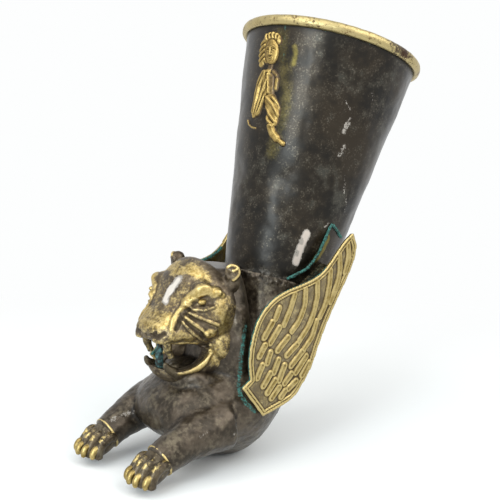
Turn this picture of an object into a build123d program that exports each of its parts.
"""Rhyton drinking cup: a horn-shaped beaker that ends in the forepart of a winged lion.

Millimetres. The lion faces -Y, its left side is +X and +Z is up. The origin is on the flat of the
belly that the cup stands on.
"""

from build123d import *
import math
import os
from collections import namedtuple

os.makedirs("parts", exist_ok=True)

# Horn beaker
HORN_LENGTH = 127.0  # from the joint with the body to the lip
MOUTH_RADIUS = 46.0  # outside of the lip
JOINT_RADIUS = 26.5  # outside at the joint
HORN_WALL = 1.3
HORN_TILT = 17.2  # degrees that the horn leans back from upright
JOINT_SETBACK = 24.0  # joint's middle behind the origin
JOINT_HEIGHT = 84.7  # joint's middle above the table

# Gilt rim bead, a channel folded over the lip
RIM_SKIRT = 4.2  # how far it comes down outside
RIM_PROUD = 2.0  # how far it stands out from the horn
RIM_CAP = 1.2  # metal above the lip
RIM_INNER_SKIRT = 2.6  # how far it comes down inside
RIM_INNER_WALL = 0.8
RIM_CLEARANCE = 0.05

# Joint collar and cup floor, soldered inside the joint
COLLAR_HALF = 9.0  # reach of the collar above and below the joint
COLLAR_WALL = 1.2
FLOOR_THICKNESS = 1.2
FLOOR_DISH = 5.0
FLOOR_LEDGE = 2.5  # ledge in the body that carries the floor's edge

# Body, the lion's forepart
BODY_WALL = 2.4
CHEST_HALF_WIDTH = 35.5
CHEST_REACH = 53.0  # front of the chest before the origin
BELLY_SINK = 0.6  # how much of the round belly the standing flat takes off
BELLY_PINCH = 0.25  # share of its width that the body loses towards its underside
NECK_HALF_WIDTH = 30.0
NECK_TOP = 97.0

# Head
HEAD_LEAN = 73.0  # degrees from straight down that the muzzle points forward
HEAD_HALF_WIDTH = 25.5
HEAD_HEIGHT = 78.0  # middle of the skull above the table
SKULL_DEPTH = 22.0  # widest part of the skull before the origin
MUZZLE_REACH = 55.5  # tip of the nose before the origin
HEAD_WALL = 3.0
BROW_RADIUS = 6.0
BROW_SPREAD = 15.5
EYE_RADIUS = 3.2
EYE_SPREAD = 19.0
EAR_RADIUS = 4.2
EAR_HEIGHT = 4.5
EAR_WALL = 1.5
EAR_SPREAD = 21.5
EAR_SPLAY = 28.0  # degrees that the ears lean outwards

# Mouth, lower jaw and what stands in the mouth
MOUTH_CORNER = 28.5  # corner of the mouth before the origin
LIP_HEIGHT = 59.0  # upper lip above the table, at the corner
LIP_RISE = 5.0  # degrees that the upper lip rises forward
GAPE_RADIUS = 12.2  # round of the open mouth, seen from the side
GAPE_REACH = 41.0  # middle of that round before the origin
GAPE_HEIGHT = 58.2
JAW_HALF_WIDTH = 14.5
JAW_TIP = 53.0  # chin before the origin
JAW_LIP = 2.6  # width of the jaw's rim
FANG_RADIUS = 2.3
FANG_TIP_RADIUS = 1.1
FANG_SPREAD = 8.4
FANG_REACH = 48.6
FANG_ROOT = 2.0  # length of a fang sunk towards its jaw, then trimmed to it
UPPER_FANG_LENGTH = 6.0
LOWER_FANG_LENGTH = 5.0
STRUT_RADIUS = 2.1
STRUT_REACH = 45.5
TONGUE_HALF_WIDTH = 5.5
TONGUE_HEIGHT = 4.0

# Forelegs, wrist bands, paws and claws
LEG_SPREAD = 23.0  # leg's axis from the middle plane, at the wrist
SHOULDER_SPREAD = 25.0
SHOULDER_RADIUS = 13.5
SHOULDER_HEIGHT = 25.0
WRIST_RADIUS = 7.6
WRIST_REACH = 62.5  # wrist before the origin
WRIST_HEIGHT = 13.5
WRIST_FALL = 24.0  # degrees that the wrist's axis points below level
BAND_WIDTH = 2.6
BAND_PROUD = 0.7
SPIGOT_RADIUS = 4.6
SPIGOT_LENGTH = 9.0
SPIGOT_CLEARANCE = 0.05
PAW_HALF_WIDTH = 10.2
PAW_HALF_HEIGHT = 7.0
PAW_LENGTH = 10.5
TOE_COUNT = 4
TOE_RADIUS = 3.3
TOE_PITCH = 5.1
TOE_BOW = 2.0  # how far the outer toes lie behind the middle ones
TOE_HEIGHT = 5.4  # middle of a toe above the table
KNUCKLE_RISE = 6.6
KNUCKLE_SETBACK = 4.5
CLAW_RADIUS = 1.8
CLAW_TIP_RADIUS = 0.6
CLAW_LENGTH = 6.0
CLAW_FALL = 48.0  # degrees that a claw points below level

# Wings, their seats and the brackets that carry them
WING_THICKNESS = 1.3
WING_ROOT_X = 36.6  # inner face at the root, from the middle plane
WING_ROOT_Y = -19.0
WING_ROOT_Z = 37.0
WING_RISE = 49.5  # degrees that the wing's length rises from level
WING_FLARE = 4.1  # degrees that the wing leans out from upright
WING_LENGTH = 95.0
WING_WIDTH = 47.0
BORDER_WIDTH = 1.5
BORDER_PROUD = 0.9
FEATHER_PROUD = 0.8
FEATHER_WIDTH = 3.4
SEAT_WIDTH = 1.8
SEAT_PROUD = 0.8
BRACKET_HALF_LENGTH = 31.0
BRACKET_HALF_WIDTH = 4.0
BRACKET_REACH = 16.0  # how far it reaches in from the wing before it is trimmed to the body
SOLDER_GAP = 0.05  # room for solder under a bracket or a seat
SOLDER_LAP = 3.0  # how far the horn's trimming cone runs on below the joint

# Relief figure on the front of the horn
FIGURE_RELIEF = 1.1  # silhouette above the horn
FIGURE_MODELLING = 1.2  # head, cloak, skirt and feet above the silhouette
FIGURE_TOP = 6.0  # top of the hair below the lip
FIGURE_HEIGHT = 54.0

SECTION_POINTS = 12  # points on each rounded section
FULL_TURN = 360.0
TAPER = (MOUTH_RADIUS - JOINT_RADIUS) / HORN_LENGTH

Station = namedtuple("Station", "plane half_width above below pinch", defaults=(0.0,))

joint_centre = Vector(0, JOINT_SETBACK, JOINT_HEIGHT)
horn_up = Vector(0, math.sin(math.radians(HORN_TILT)), math.cos(math.radians(HORN_TILT)))
horn_front = Vector(0, -horn_up.Z, horn_up.Y)
horn_axis = Axis(joint_centre, horn_up)
horn_section = Plane(origin=joint_centre, x_dir=(1, 0, 0), z_dir=horn_front)


def horn_radius(height):
    """Outside radius of the horn at a height along its axis above the joint."""
    return JOINT_RADIUS + TAPER * height


def cross_plane(y, z, lean):
    """Plane across the animal: lean 0 faces straight down and 90 forward, with y up and forward."""
    angle = math.radians(lean)
    return Plane(origin=(0, y, z), x_dir=(1, 0, 0), z_dir=(0, -math.sin(angle), -math.cos(angle)))


def rounded_section(half_width, above, below, pinch):
    """Closed rounded line from its lowest point, as deep above and below as told, pinched below."""
    points = []
    for index in range(SECTION_POINTS):
        turn = math.radians(FULL_TURN * index / SECTION_POINTS - 90)
        rise = math.sin(turn)
        depth = above if rise > 0 else below
        narrowing = 1 if rise > 0 else 1 - pinch * rise**2
        points.append((half_width * math.cos(turn) * narrowing, depth * rise))
    return Spline(*points, periodic=True)


def inset(stations, wall):
    """The same stations with a wall taken off all round."""
    return [
        Station(plane, half_width - wall, above - wall, below - wall, pinch)
        for plane, half_width, above, below, pinch in stations
    ]


def loft_stations(stations):
    """Solid through a row of stations."""
    with BuildPart() as form:
        for plane, half_width, above, below, pinch in stations:
            with BuildSketch(plane):
                with BuildLine():
                    add(rounded_section(half_width, above, below, pinch))
                make_face()
        loft()
    return form.part


def horn_cone(grow, foot, top):
    """Solid cone with the horn's taper, grown in radius, between two heights along its axis."""
    with BuildPart() as cone:
        with BuildSketch(horn_section):
            with BuildLine():
                Polyline(
                    (0, foot),
                    (horn_radius(foot) + grow, foot),
                    (horn_radius(top) + grow, top),
                    (0, top),
                    close=True,
                )
            make_face()
        revolve(axis=horn_axis)
    return cone.part


def save(piece, name):
    """Label a finished piece and write its file."""
    piece.label = name
    export_step(piece, f"parts/{name}.step")


def save_pair(piece, name):
    """Write a piece of the lion's left side and its mirror image on the right."""
    save(piece, f"{name}_left")
    save(mirror(piece, about=Plane.YZ), f"{name}_right")


# Horn beaker, raised from sheet and open at both ends
with BuildPart() as horn_shell:
    with BuildSketch(horn_section):
        with BuildLine():
            Polyline(
                (JOINT_RADIUS - HORN_WALL, 0),
                (JOINT_RADIUS, 0),
                (MOUTH_RADIUS, HORN_LENGTH),
                (MOUTH_RADIUS - HORN_WALL, HORN_LENGTH),
                close=True,
            )
        make_face()
    revolve(axis=horn_axis)
save(horn_shell.part, "horn_shell")

# Rim bead folded over the lip
skirt_foot = HORN_LENGTH - RIM_SKIRT
inner_foot = HORN_LENGTH - RIM_INNER_SKIRT
rim_top = HORN_LENGTH + RIM_CAP
lip_inside = MOUTH_RADIUS - HORN_WALL - RIM_CLEARANCE
inner_inside = horn_radius(inner_foot) - HORN_WALL - RIM_CLEARANCE
bead_foot_radius = horn_radius(skirt_foot) + RIM_PROUD / 2
bead_top_radius = MOUTH_RADIUS + RIM_PROUD / 4
with BuildPart() as rim_bead:
    with BuildSketch(horn_section):
        with BuildLine():
            ThreePointArc(
                (bead_foot_radius, skirt_foot),
                (MOUTH_RADIUS + RIM_PROUD, (skirt_foot + rim_top) / 2),
                (bead_top_radius, rim_top),
            )
            Polyline(
                (bead_top_radius, rim_top),
                (lip_inside - RIM_INNER_WALL, rim_top),
                (inner_inside - RIM_INNER_WALL, inner_foot),
                (inner_inside, inner_foot),
                (lip_inside, HORN_LENGTH),
                (MOUTH_RADIUS + RIM_CLEARANCE, HORN_LENGTH),
                (horn_radius(skirt_foot) + RIM_CLEARANCE, skirt_foot),
                (bead_foot_radius, skirt_foot),
            )
        make_face()
    revolve(axis=horn_axis)
save(rim_bead.part, "rim_bead")

# Collar inside the joint, with the horn's taper
collar_foot_radius = horn_radius(-COLLAR_HALF) - HORN_WALL
collar_top_radius = horn_radius(COLLAR_HALF) - HORN_WALL
with BuildPart() as joint_collar:
    with BuildSketch(horn_section):
        with BuildLine():
            Polyline(
                (collar_foot_radius - COLLAR_WALL, -COLLAR_HALF),
                (collar_foot_radius, -COLLAR_HALF),
                (collar_top_radius, COLLAR_HALF),
                (collar_top_radius - COLLAR_WALL, COLLAR_HALF),
                close=True,
            )
        make_face()
    revolve(axis=horn_axis)
save(joint_collar.part, "joint_collar")

# Dished floor of the cup, held between the collar and a ledge in the body
floor_foot = -COLLAR_HALF - FLOOR_THICKNESS
floor_radius = horn_radius(floor_foot) - HORN_WALL
dish_radius = floor_radius - FLOOR_LEDGE
sphere_radius = (dish_radius**2 + FLOOR_DISH**2) / (2 * FLOOR_DISH)
dish_angle = math.degrees(math.asin(dish_radius / sphere_radius))
with BuildPart() as cup_floor:
    with BuildSketch(horn_section):
        with BuildLine():
            dish_top = CenterArc(
                (0, sphere_radius - COLLAR_HALF - FLOOR_DISH), sphere_radius, -90, dish_angle
            )
            dish_foot = CenterArc(
                (0, sphere_radius + floor_foot - FLOOR_DISH), sphere_radius, -90, dish_angle
            )
            Polyline(
                dish_top @ 1,
                (floor_radius, -COLLAR_HALF),
                (floor_radius, floor_foot),
                dish_foot @ 1,
            )
            Line(dish_top @ 0, dish_foot @ 0)
        make_face()
    revolve(axis=horn_axis)
save(cup_floor.part, "cup_floor")


def belly_depth(z, lean):
    """Depth of a body station that reaches just under the table."""
    return (z + BELLY_SINK) / math.sin(math.radians(lean))


# The body bends from the horn's axis to the front of the chest, and the neck rises from it
joint_plane = cross_plane(JOINT_SETBACK, JOINT_HEIGHT, HORN_TILT)
under_joint_plane = cross_plane(JOINT_SETBACK - 2.7, JOINT_HEIGHT - 8, 18.5)
body_stations = [
    Station(joint_plane, JOINT_RADIUS, JOINT_RADIUS, JOINT_RADIUS),
    Station(under_joint_plane, JOINT_RADIUS + 1, JOINT_RADIUS, JOINT_RADIUS),
    Station(cross_plane(16, 62, 24), CHEST_HALF_WIDTH - 6, 26, 25, BELLY_PINCH / 2),
    Station(cross_plane(4, 43, 46), CHEST_HALF_WIDTH - 3, 27, 25, BELLY_PINCH),
    Station(cross_plane(-9, 34, 76), CHEST_HALF_WIDTH, 27, belly_depth(34, 76), BELLY_PINCH),
    Station(cross_plane(-22, 29, 85), CHEST_HALF_WIDTH - 0.5, 24, belly_depth(28, 85), BELLY_PINCH),
    Station(cross_plane(15 - CHEST_REACH, 27, 90), CHEST_HALF_WIDTH - 5, 18, 17),
    Station(cross_plane(5 - CHEST_REACH, 26, 90), CHEST_HALF_WIDTH - 13, 12, 10),
    Station(cross_plane(-CHEST_REACH, 25, 90), CHEST_HALF_WIDTH - 24, 6, 5),
]
neck_stations = [
    Station(cross_plane(-14, 30, 180), NECK_HALF_WIDTH - 8, 16, 14),
    Station(cross_plane(-18, 50, 180), NECK_HALF_WIDTH - 1, 17, 15),
    Station(cross_plane(-20, 62, 180), NECK_HALF_WIDTH, 14, 13),
    Station(cross_plane(-20, 74, 180), NECK_HALF_WIDTH - 1.5, 14, 13),
    Station(cross_plane(-18, NECK_TOP - 9, 180), NECK_HALF_WIDTH - 8, 14, 12),
    Station(cross_plane(-15, NECK_TOP, 180), NECK_HALF_WIDTH - 17, 10, 10),
]
horn_envelope = horn_cone(0, 0, HORN_LENGTH)
with BuildPart() as body_outside:
    add(loft_stations(neck_stations))
    add(horn_envelope, mode=Mode.SUBTRACT)
    add(loft_stations(body_stations))

floor_plane = Plane(origin=joint_centre - horn_up * COLLAR_HALF, x_dir=(1, 0, 0), z_dir=-horn_up)
cavity_stations = [Station(floor_plane, *[dish_radius + 0.8] * 3)]
cavity_stations += inset(body_stations[2:-2], BODY_WALL + BELLY_SINK)
neck_cavity_stations = inset(neck_stations[:-1], BODY_WALL + 1)
joint_bore = horn_cone(-HORN_WALL, floor_foot, 0)
with BuildPart() as body_shell:
    add(body_outside.part)
    add(joint_bore, mode=Mode.SUBTRACT)
    add(loft_stations(cavity_stations), mode=Mode.SUBTRACT)
    add(loft_stations(neck_cavity_stations), mode=Mode.SUBTRACT)
    split(bisect_by=Plane.XY, keep=Keep.TOP)
save(body_shell.part, "body_shell")

# Head, cast hollow and soldered to the neck
head_stations = [
    Station(cross_plane(5 - SKULL_DEPTH, HEAD_HEIGHT + 1, HEAD_LEAN), HEAD_HALF_WIDTH - 2, 21, 20),
    Station(cross_plane(-SKULL_DEPTH, HEAD_HEIGHT, HEAD_LEAN), HEAD_HALF_WIDTH, 25, 26),
    Station(cross_plane(-SKULL_DEPTH - 11, HEAD_HEIGHT - 2.5, HEAD_LEAN), HEAD_HALF_WIDTH - 1, 20, 18),
    Station(cross_plane(14.5 - MUZZLE_REACH, HEAD_HEIGHT - 6, HEAD_LEAN), HEAD_HALF_WIDTH - 7.5, 12, 14),
    Station(cross_plane(7.5 - MUZZLE_REACH, HEAD_HEIGHT - 9, HEAD_LEAN), HEAD_HALF_WIDTH - 12, 7.5, 10),
    Station(cross_plane(2.5 - MUZZLE_REACH, HEAD_HEIGHT - 11, HEAD_LEAN), HEAD_HALF_WIDTH - 15, 4, 6),
    Station(cross_plane(-MUZZLE_REACH, HEAD_HEIGHT - 12, HEAD_LEAN), HEAD_HALF_WIDTH - 19, 2, 3),
]
lip_plane = Plane(
    origin=(0, -MOUTH_CORNER, LIP_HEIGHT),
    x_dir=(1, 0, 0),
    z_dir=(0, math.sin(math.radians(LIP_RISE)), math.cos(math.radians(LIP_RISE))),
)
gape_plane = Plane(origin=(0, -GAPE_REACH, GAPE_HEIGHT), x_dir=(0, 1, 0), z_dir=(1, 0, 0))
with BuildPart() as head_shell:
    add(loft_stations(head_stations))
    with Locations(
        (BROW_SPREAD, -SKULL_DEPTH - 13, HEAD_HEIGHT + 11),
        (-BROW_SPREAD, -SKULL_DEPTH - 13, HEAD_HEIGHT + 11),
    ):
        Sphere(BROW_RADIUS)
    add(loft_stations(inset(head_stations[:3], 2 * HEAD_WALL)), mode=Mode.SUBTRACT)
    with BuildSketch(lip_plane):
        with Locations((0, -MUZZLE_REACH / 2)):
            Rectangle(4 * HEAD_HALF_WIDTH, MUZZLE_REACH)
    extrude(amount=-HEAD_HEIGHT, mode=Mode.SUBTRACT)
    add(body_outside.part, mode=Mode.SUBTRACT)
save(head_shell.part, "head_shell")

# Lower jaw, a trough with a rounded chin
jaw_stations = [
    Station(cross_plane(35 - JAW_TIP, 56, 90), JAW_HALF_WIDTH - 1.5, 6, 14),
    Station(cross_plane(23 - JAW_TIP, 55, 90), JAW_HALF_WIDTH, 6, 14),
    Station(cross_plane(12 - JAW_TIP, 53, 90), JAW_HALF_WIDTH - 2, 5, 11.5),
    Station(cross_plane(5 - JAW_TIP, 53, 90), JAW_HALF_WIDTH - 5, 4, 9),
    Station(cross_plane(-JAW_TIP, 53, 90), JAW_HALF_WIDTH - 10.5, 2, 3.5),
]
with BuildPart() as lower_jaw:
    add(loft_stations(jaw_stations))
    add(loft_stations(inset(jaw_stations[:-1], JAW_LIP)), mode=Mode.SUBTRACT)
    with BuildSketch(gape_plane):
        Circle(GAPE_RADIUS)
    extrude(amount=HEAD_HALF_WIDTH, both=True, mode=Mode.SUBTRACT)
    add(head_shell.part, mode=Mode.SUBTRACT)
    add(body_outside.part, mode=Mode.SUBTRACT)
save(lower_jaw.part, "lower_jaw")

# Upper and lower fangs
with BuildPart() as upper_fangs:
    with Locations((FANG_SPREAD, -FANG_REACH, 0), (-FANG_SPREAD, -FANG_REACH, 0)):
        with Locations((0, 0, LIP_HEIGHT + FANG_ROOT + 1)):
            Cone(
                FANG_TIP_RADIUS,
                FANG_RADIUS,
                UPPER_FANG_LENGTH + FANG_ROOT,
                align=(Align.CENTER, Align.CENTER, Align.MAX),
            )
    add(head_shell.part, mode=Mode.SUBTRACT)
save(upper_fangs.part, "upper_fangs")

with BuildPart() as lower_fangs:
    with Locations((FANG_SPREAD, -FANG_REACH, 0), (-FANG_SPREAD, -FANG_REACH, 0)):
        with Locations((0, 0, GAPE_HEIGHT - GAPE_RADIUS + 2 - FANG_ROOT)):
            Cone(
                FANG_RADIUS,
                FANG_TIP_RADIUS,
                LOWER_FANG_LENGTH + FANG_ROOT,
                align=(Align.CENTER, Align.CENTER, Align.MIN),
            )
    add(lower_jaw.part, mode=Mode.SUBTRACT)
save(lower_fangs.part, "lower_fangs")

# Strut between the palate and the floor of the jaw
with BuildPart() as jaw_strut:
    with Locations((0, -STRUT_REACH, LIP_HEIGHT + 4)):
        Cylinder(STRUT_RADIUS, LIP_HEIGHT - 40, align=(Align.CENTER, Align.CENTER, Align.MAX))
    add(head_shell.part, mode=Mode.SUBTRACT)
    add(lower_jaw.part, mode=Mode.SUBTRACT)
save(jaw_strut.part, "jaw_strut")

# Tongue on the floor of the jaw
tongue_stations = [
    Station(cross_plane(25 - JAW_TIP, 46, 90), TONGUE_HALF_WIDTH, TONGUE_HEIGHT, 6),
    Station(cross_plane(17 - JAW_TIP, 45.5, 90), TONGUE_HALF_WIDTH, TONGUE_HEIGHT, 6),
    Station(cross_plane(10.5 - JAW_TIP, 45.5, 90), TONGUE_HALF_WIDTH - 2, TONGUE_HEIGHT / 2, 3),
]
with BuildPart() as tongue:
    add(loft_stations(tongue_stations))
    add(lower_jaw.part, mode=Mode.SUBTRACT)
    add(body_outside.part, mode=Mode.SUBTRACT)
save(tongue.part, "tongue")

# Eyes and cupped ears
with BuildPart() as eye:
    with Locations((EYE_SPREAD, -SKULL_DEPTH - 15.5, HEAD_HEIGHT + 8.5)):
        Sphere(EYE_RADIUS)
    add(head_shell.part, mode=Mode.SUBTRACT)
save_pair(eye.part, "eye")

ear_plane = Plane(
    origin=(EAR_SPREAD, -SKULL_DEPTH, HEAD_HEIGHT + 10),
    x_dir=(0, 1, 0),
    z_dir=(math.sin(math.radians(EAR_SPLAY)), 0, math.cos(math.radians(EAR_SPLAY))),
)
with BuildPart() as ear:
    with Locations(ear_plane):
        Cone(EAR_RADIUS - 2, EAR_RADIUS, EAR_HEIGHT + 3, align=(Align.CENTER, Align.CENTER, Align.MIN))
    with Locations(ear_plane.offset(EAR_HEIGHT + 3)):
        Sphere(EAR_RADIUS - EAR_WALL, mode=Mode.SUBTRACT)
    add(head_shell.part, mode=Mode.SUBTRACT)
    add(body_outside.part, mode=Mode.SUBTRACT)
save_pair(ear.part, "ear")


def leg_plane(x, y, z, fall):
    """Plane across a foreleg whose axis points forward and falls by some degrees."""
    angle = math.radians(fall)
    return Plane(origin=(x, y, z), x_dir=(1, 0, 0), z_dir=(0, -math.cos(angle), -math.sin(angle)))


# Forelegs with a socket for the paw's spigot
wrist_plane = leg_plane(LEG_SPREAD, -WRIST_REACH, WRIST_HEIGHT, WRIST_FALL)
knee_radius = (2 * WRIST_RADIUS + SHOULDER_RADIUS) / 3
leg_stations = [
    Station(leg_plane(SHOULDER_SPREAD, 34 - WRIST_REACH, SHOULDER_HEIGHT, 8), *[SHOULDER_RADIUS] * 3),
    Station(leg_plane(SHOULDER_SPREAD, 20 - WRIST_REACH, SHOULDER_HEIGHT - 3, 14), *[knee_radius + 1] * 3),
    Station(leg_plane(LEG_SPREAD + 1, 9 - WRIST_REACH, WRIST_HEIGHT + 4.5, 20), *[knee_radius - 1] * 3),
    Station(wrist_plane, WRIST_RADIUS, WRIST_RADIUS, WRIST_RADIUS),
]
with BuildPart() as foreleg:
    add(loft_stations(leg_stations))
    with BuildSketch(wrist_plane):
        Circle(SPIGOT_RADIUS + SPIGOT_CLEARANCE)
    extrude(amount=-SPIGOT_LENGTH, mode=Mode.SUBTRACT)
    add(body_outside.part, mode=Mode.SUBTRACT)
save_pair(foreleg.part, "foreleg")

# Gilt band between the leg and the paw
with BuildPart() as wrist_band:
    with BuildSketch(wrist_plane):
        Circle(WRIST_RADIUS + BAND_PROUD)
        Circle(SPIGOT_RADIUS + SPIGOT_CLEARANCE, mode=Mode.SUBTRACT)
    extrude(amount=BAND_WIDTH)
save_pair(wrist_band.part, "wrist_band")

# Paws with four toes and a knuckle on each
paw_plane = wrist_plane.offset(BAND_WIDTH)
paw_stations = [
    Station(paw_plane, WRIST_RADIUS, WRIST_RADIUS, WRIST_RADIUS),
    Station(paw_plane.offset(PAW_LENGTH / 2), PAW_HALF_WIDTH, PAW_HALF_HEIGHT, PAW_HALF_HEIGHT),
    Station(paw_plane.offset(PAW_LENGTH), PAW_HALF_WIDTH - 2, PAW_HALF_HEIGHT - 3, PAW_HALF_HEIGHT - 3),
]
paw_front = paw_plane.offset(PAW_LENGTH).origin.Y
toe_places = []
for toe in range(TOE_COUNT):
    side = toe - (TOE_COUNT - 1) / 2
    toe_places.append((LEG_SPREAD + side * TOE_PITCH, paw_front + TOE_BOW * abs(side) - 0.5))
with BuildPart() as paw:
    add(loft_stations(paw_stations))
    for x, y in toe_places:
        with Locations((x, y, TOE_HEIGHT)):
            Sphere(TOE_RADIUS)
        with Locations((x, y + KNUCKLE_SETBACK, TOE_HEIGHT + KNUCKLE_RISE)):
            Sphere(TOE_RADIUS)
    add(wrist_band.part, mode=Mode.SUBTRACT)
    with BuildSketch(paw_plane):
        Circle(SPIGOT_RADIUS)
    extrude(amount=-SPIGOT_LENGTH - BAND_WIDTH)
save_pair(paw.part, "paw")

# Gilt claws, one on each toe
with BuildPart() as claws:
    for x, y in toe_places:
        claw_plane = Plane(
            origin=(x, y - 1, TOE_HEIGHT + 2.2),
            x_dir=(1, 0, 0),
            z_dir=(0, -math.cos(math.radians(CLAW_FALL)), -math.sin(math.radians(CLAW_FALL))),
        )
        with Locations(claw_plane):
            Cone(CLAW_RADIUS, CLAW_TIP_RADIUS, CLAW_LENGTH, align=(Align.CENTER, Align.CENTER, Align.MIN))
    add(paw.part, mode=Mode.SUBTRACT)
save_pair(claws.part, "claws")

# Wings: a plate with a raised border and raised feathers
wing_plane = Plane(
    origin=(WING_ROOT_X, WING_ROOT_Y, WING_ROOT_Z),
    x_dir=(0, math.cos(math.radians(WING_RISE)), math.sin(math.radians(WING_RISE))),
    z_dir=(math.cos(math.radians(WING_FLARE)), 0, -math.sin(math.radians(WING_FLARE))),
)


def wing_point(along, across):
    """Place on the wing from its shares of the length and of the width, with the leading edge positive."""
    return (along * WING_LENGTH, across * WING_WIDTH)


wing_corners = [
    wing_point(-0.027, -0.20),
    wing_point(0.10, -0.38),
    wing_point(0.21, -0.43),
    wing_point(0.34, -0.39),
    wing_point(0.59, -0.22),
    wing_point(0.87, -0.09),
    wing_point(0.97, 0.01),
    wing_point(1.0, 0.16),
    wing_point(0.84, 0.19),
    wing_point(0.69, 0.24),
    wing_point(0.55, 0.43),
    wing_point(0.38, 0.58),
    wing_point(0.21, 0.49),
    wing_point(0.064, 0.215),
    wing_point(0.007, 0.245),
]
wing_tip = 7  # which point of the outline is the tip
wing_notch = 13  # and which is the notch before the root


def grown_points(points, amount):
    """Points of a closed line moved outwards by an amount, square to the line."""
    moved = []
    for index, point in enumerate(points):
        here = Vector(*point)
        into = (here - Vector(*points[index - 1])).normalized()
        out = (Vector(*points[(index + 1) % len(points)]) - here).normalized()
        side_in = Vector(into.Y, -into.X)
        side_out = Vector(out.Y, -out.X)
        moved.append(here + (side_in + side_out) * (amount / (1 + side_in.dot(side_out))))
    return moved


def wing_outline(amount):
    """Closed outline of a wing, grown by an amount."""
    points = grown_points(wing_corners, amount)
    trailing = Spline(*points[: wing_tip + 1])
    leading = Spline(*points[wing_tip : wing_notch + 1])
    root = Polyline(*points[wing_notch:], points[0])
    return [trailing, leading, root]


# Rows of short feathers as (foot, tip, front, back, count), then the long feathers as foot and tip
feather_rows = [
    (0.085, 0.145, 0.15, -0.25, 5),
    (0.185, 0.225, 0.29, -0.31, 6),
    (0.285, 0.345, 0.37, -0.34, 7),
]
long_feathers = [
    ((0.40, 0.40), (0.46, 0.43)),
    ((0.40, 0.25), (0.54, 0.31)),
    ((0.41, 0.10), (0.61, 0.20)),
    ((0.40, -0.05), (0.69, 0.13)),
    ((0.40, -0.20), (0.79, 0.06)),
    ((0.58, -0.12), (0.88, 0.08)),
]
feather_ends = [(wing_point(*foot), wing_point(*tip)) for foot, tip in long_feathers]
for foot, tip, front, back, count in feather_rows:
    for feather in range(count):
        across = front + (back - front) * feather / (count - 1)
        feather_ends.append((wing_point(foot, across), wing_point(tip, across)))

with BuildPart() as wing:
    with BuildSketch(wing_plane):
        with BuildLine():
            add(wing_outline(0))
        make_face()
    extrude(amount=WING_THICKNESS + BORDER_PROUD)
    with BuildSketch(wing_plane.offset(WING_THICKNESS)):
        with BuildLine():
            add(wing_outline(-BORDER_WIDTH))
        make_face()
    extrude(amount=BORDER_PROUD, mode=Mode.SUBTRACT)
    with BuildSketch(wing_plane.offset(WING_THICKNESS)):
        for foot, tip in feather_ends:
            run = (tip[0] - foot[0], tip[1] - foot[1])
            with Locations(((foot[0] + tip[0]) / 2, (foot[1] + tip[1]) / 2)):
                SlotCenterToCenter(
                    math.hypot(*run), FEATHER_WIDTH, rotation=math.degrees(math.atan2(run[1], run[0]))
                )
    extrude(amount=FEATHER_PROUD)
save_pair(wing.part, "wing")

# What brackets and seats are trimmed to: the neck, the body and the horn with room for solder
solder_faces = [
    loft_stations(inset(neck_stations, -SOLDER_GAP)),
    loft_stations(inset(body_stations, -SOLDER_GAP)),
    horn_cone(2 * SOLDER_GAP, -SOLDER_LAP, HORN_LENGTH),
]

# Brackets that carry the wings off the body and the horn
with BuildPart() as wing_bracket:
    with BuildSketch(wing_plane):
        with Locations(wing_point(0.5, 0)):
            Ellipse(BRACKET_HALF_LENGTH, BRACKET_HALF_WIDTH)
    extrude(amount=-BRACKET_REACH)
    for face in solder_faces:
        add(face, mode=Mode.SUBTRACT)
save_pair(wing_bracket.part, "wing_bracket")

# Seats: a low bead on the horn round the upper part of the wing's outline
with BuildPart() as wing_seat:
    with BuildSketch(wing_plane):
        with BuildLine():
            add(wing_outline(SEAT_WIDTH))
        make_face()
        with BuildLine():
            add(wing_outline(0))
        make_face(mode=Mode.SUBTRACT)
    extrude(amount=-BRACKET_REACH)
    add(horn_cone(SEAT_PROUD, SOLDER_LAP, HORN_LENGTH / 2), mode=Mode.INTERSECT)
    add(horn_cone(SOLDER_GAP, 0, HORN_LENGTH), mode=Mode.SUBTRACT)
save_pair(wing_seat.part, "wing_seat")

# Relief figure: a low silhouette with a rounder head, arms, cloak folds and feet on it
figure_foot = joint_centre + horn_up * (HORN_LENGTH - FIGURE_TOP - FIGURE_HEIGHT)
figure_plane = Plane(origin=figure_foot, x_dir=(1, 0, 0), z_dir=horn_front)


def figure_relief(height, ovals):
    """Ovals of (x, y, x radius, y radius, turn), in shares of the figure's height, raised on the horn."""
    with BuildPart() as relief:
        with BuildSketch(figure_plane):
            for x, y, x_radius, y_radius, turn in ovals:
                with Locations((x * FIGURE_HEIGHT, y * FIGURE_HEIGHT)):
                    Ellipse(x_radius * FIGURE_HEIGHT, y_radius * FIGURE_HEIGHT, rotation=turn)
        extrude(amount=MOUTH_RADIUS + 10)
        add(horn_cone(height, HORN_LENGTH / 4, HORN_LENGTH), mode=Mode.INTERSECT)
        add(horn_envelope, mode=Mode.SUBTRACT)
    return relief.part


figure_silhouette = [
    (0.065, 0.84, 0.115, 0.16, 0),
    (0.07, 0.62, 0.11, 0.10, 0),
    (0.04, 0.47, 0.15, 0.22, -8),
    (0.13, 0.25, 0.17, 0.17, -30),
    (0.27, 0.055, 0.11, 0.05, -35),
    (-0.02, 0.12, 0.09, 0.05, 10),
]
figure_modelling = [
    (0.075, 0.83, 0.078, 0.12, 0),
    (-0.04, 0.46, 0.045, 0.16, -6),
    (0.10, 0.47, 0.05, 0.15, 14),
    (0.06, 0.24, 0.025, 0.12, -12),
    (0.14, 0.23, 0.025, 0.12, -24),
    (0.21, 0.26, 0.03, 0.10, -34),
    (0.27, 0.055, 0.085, 0.032, -35),
]
with BuildPart() as relief_figure:
    add(figure_relief(FIGURE_RELIEF, figure_silhouette))
    add(figure_relief(FIGURE_RELIEF + FIGURE_MODELLING, figure_modelling))
save(relief_figure.part, "relief_figure")
